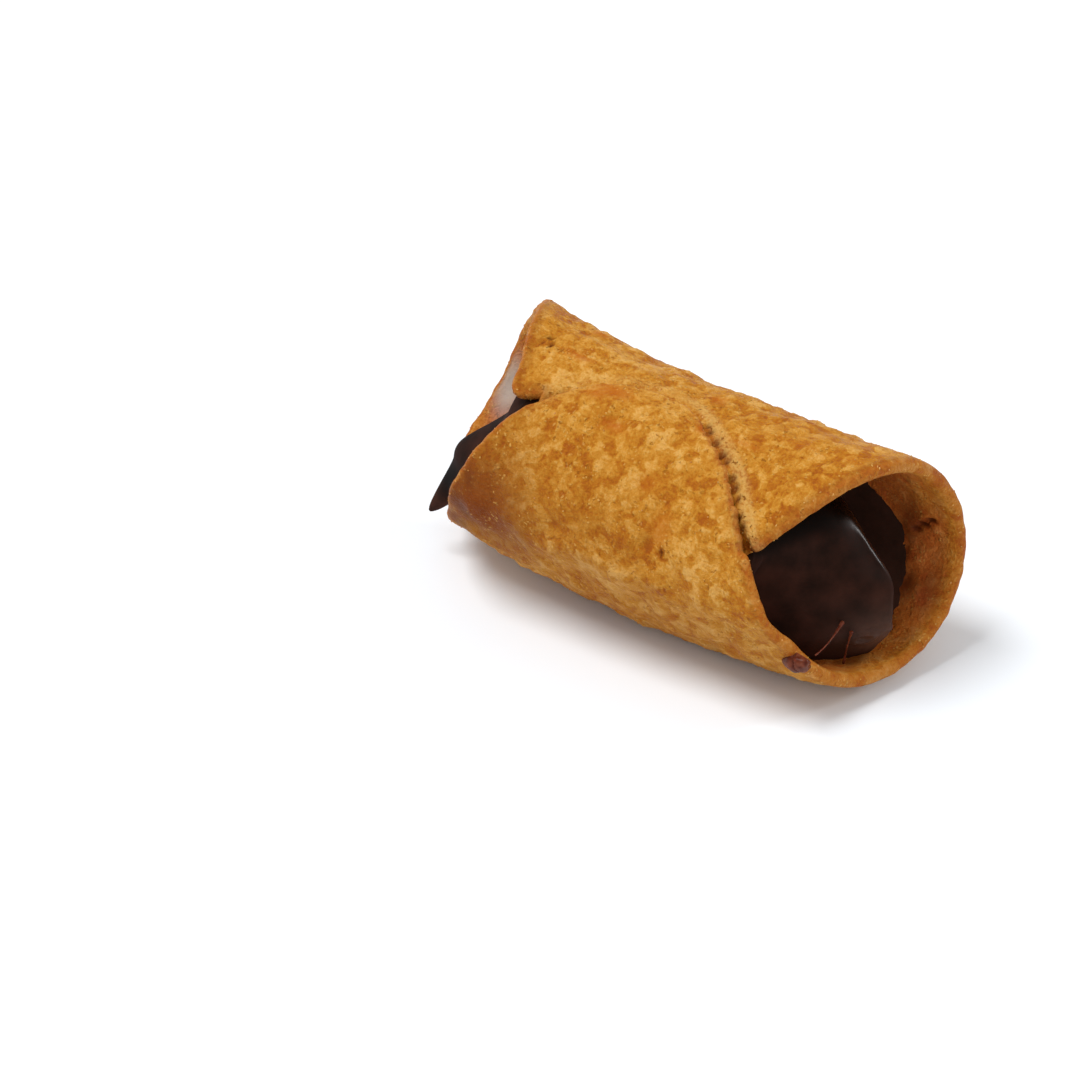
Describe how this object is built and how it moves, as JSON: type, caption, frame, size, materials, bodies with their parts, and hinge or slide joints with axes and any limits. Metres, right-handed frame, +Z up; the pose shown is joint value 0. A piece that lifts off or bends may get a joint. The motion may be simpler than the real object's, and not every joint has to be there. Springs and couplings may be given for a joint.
{
  "type": "filled cannolo",
  "caption": "Small rolled cannolo of blistered fried dough, its lapped seam at the front and slanted mouths showing dark chocolate cream.",
  "frame": {"origin": "middle of the bounding box, on the surface that the roll lies on", "axes": "+X along the roll towards the wider mouth, +Z up, -Y the side with the lapped seam"},
  "size_m": [0.0682, 0.0316, 0.0327],
  "materials": {
    "fried_dough": "blistered golden-brown crust, dry with a slight oily sheen",
    "chocolate_cream": "smooth glossy dark chocolate cream"
  },
  "bodies": {
    "root": {"shell": "fried_dough", "filling": "chocolate_cream"}
  },
  "joints": []
}
